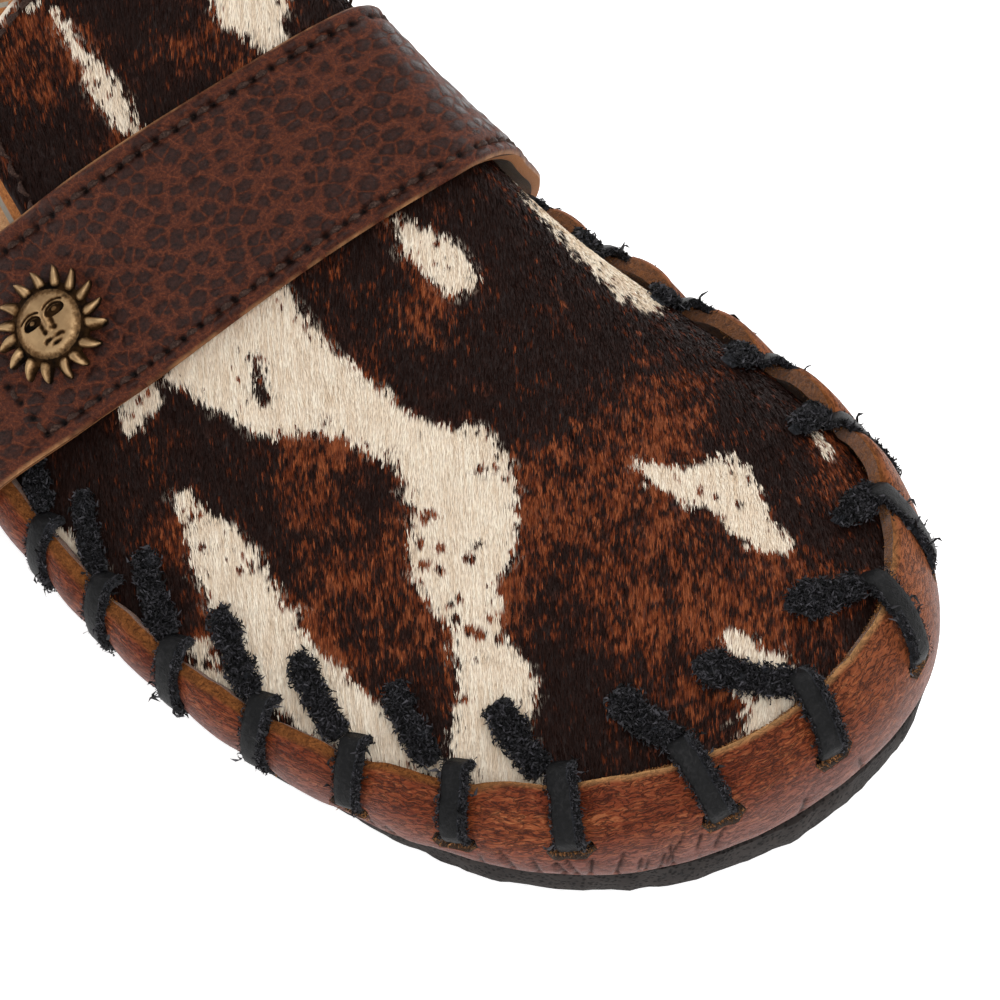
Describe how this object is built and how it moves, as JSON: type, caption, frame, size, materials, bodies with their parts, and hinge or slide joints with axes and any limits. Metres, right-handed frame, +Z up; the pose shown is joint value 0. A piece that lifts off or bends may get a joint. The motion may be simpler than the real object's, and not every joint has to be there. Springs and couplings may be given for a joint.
{
  "type": "western clog",
  "caption": "Backless clog: a hair-on hide vamp laced to a turned-up leather rand, with an instep strap, a sun concho, a moulded footbed and a foam rubber outsole.",
  "frame": {"origin": "on the floor, at the middle of the bounding box", "axes": "+X to the inner side of the foot, +Y from the toe to the heel, +Z up"},
  "size_m": [0.1086, 0.2838, 0.0722],
  "materials": {
    "foam_rubber": "matte, micro-porous, cut edge",
    "footbed_leather": "smooth, vegetable tanned",
    "rand_leather": "satin, finely wrinkled",
    "hair_on_hide": "short hair, dark brindle with cream patches",
    "strap_leather": "pebbled, slight gloss",
    "antique_brass": "antiqued, dark in the recesses",
    "lace_leather": "smooth on one side, fuzzy on the other"
  },
  "bodies": {
    "root": {"outsole": "foam_rubber", "footbed": "footbed_leather", "rand": "rand_leather", "vamp": "hair_on_hide", "strap": "strap_leather", "sun_concho": "antique_brass", "lace_01": "lace_leather", "lace_02": "lace_leather", "lace_03": "lace_leather", "lace_04": "lace_leather", "lace_05": "lace_leather", "lace_06": "lace_leather", "lace_07": "lace_leather", "lace_08": "lace_leather", "lace_09": "lace_leather", "lace_10": "lace_leather", "lace_11": "lace_leather", "lace_12": "lace_leather", "lace_13": "lace_leather", "lace_14": "lace_leather", "lace_15": "lace_leather", "lace_16": "lace_leather", "lace_17": "lace_leather"}
  },
  "joints": []
}
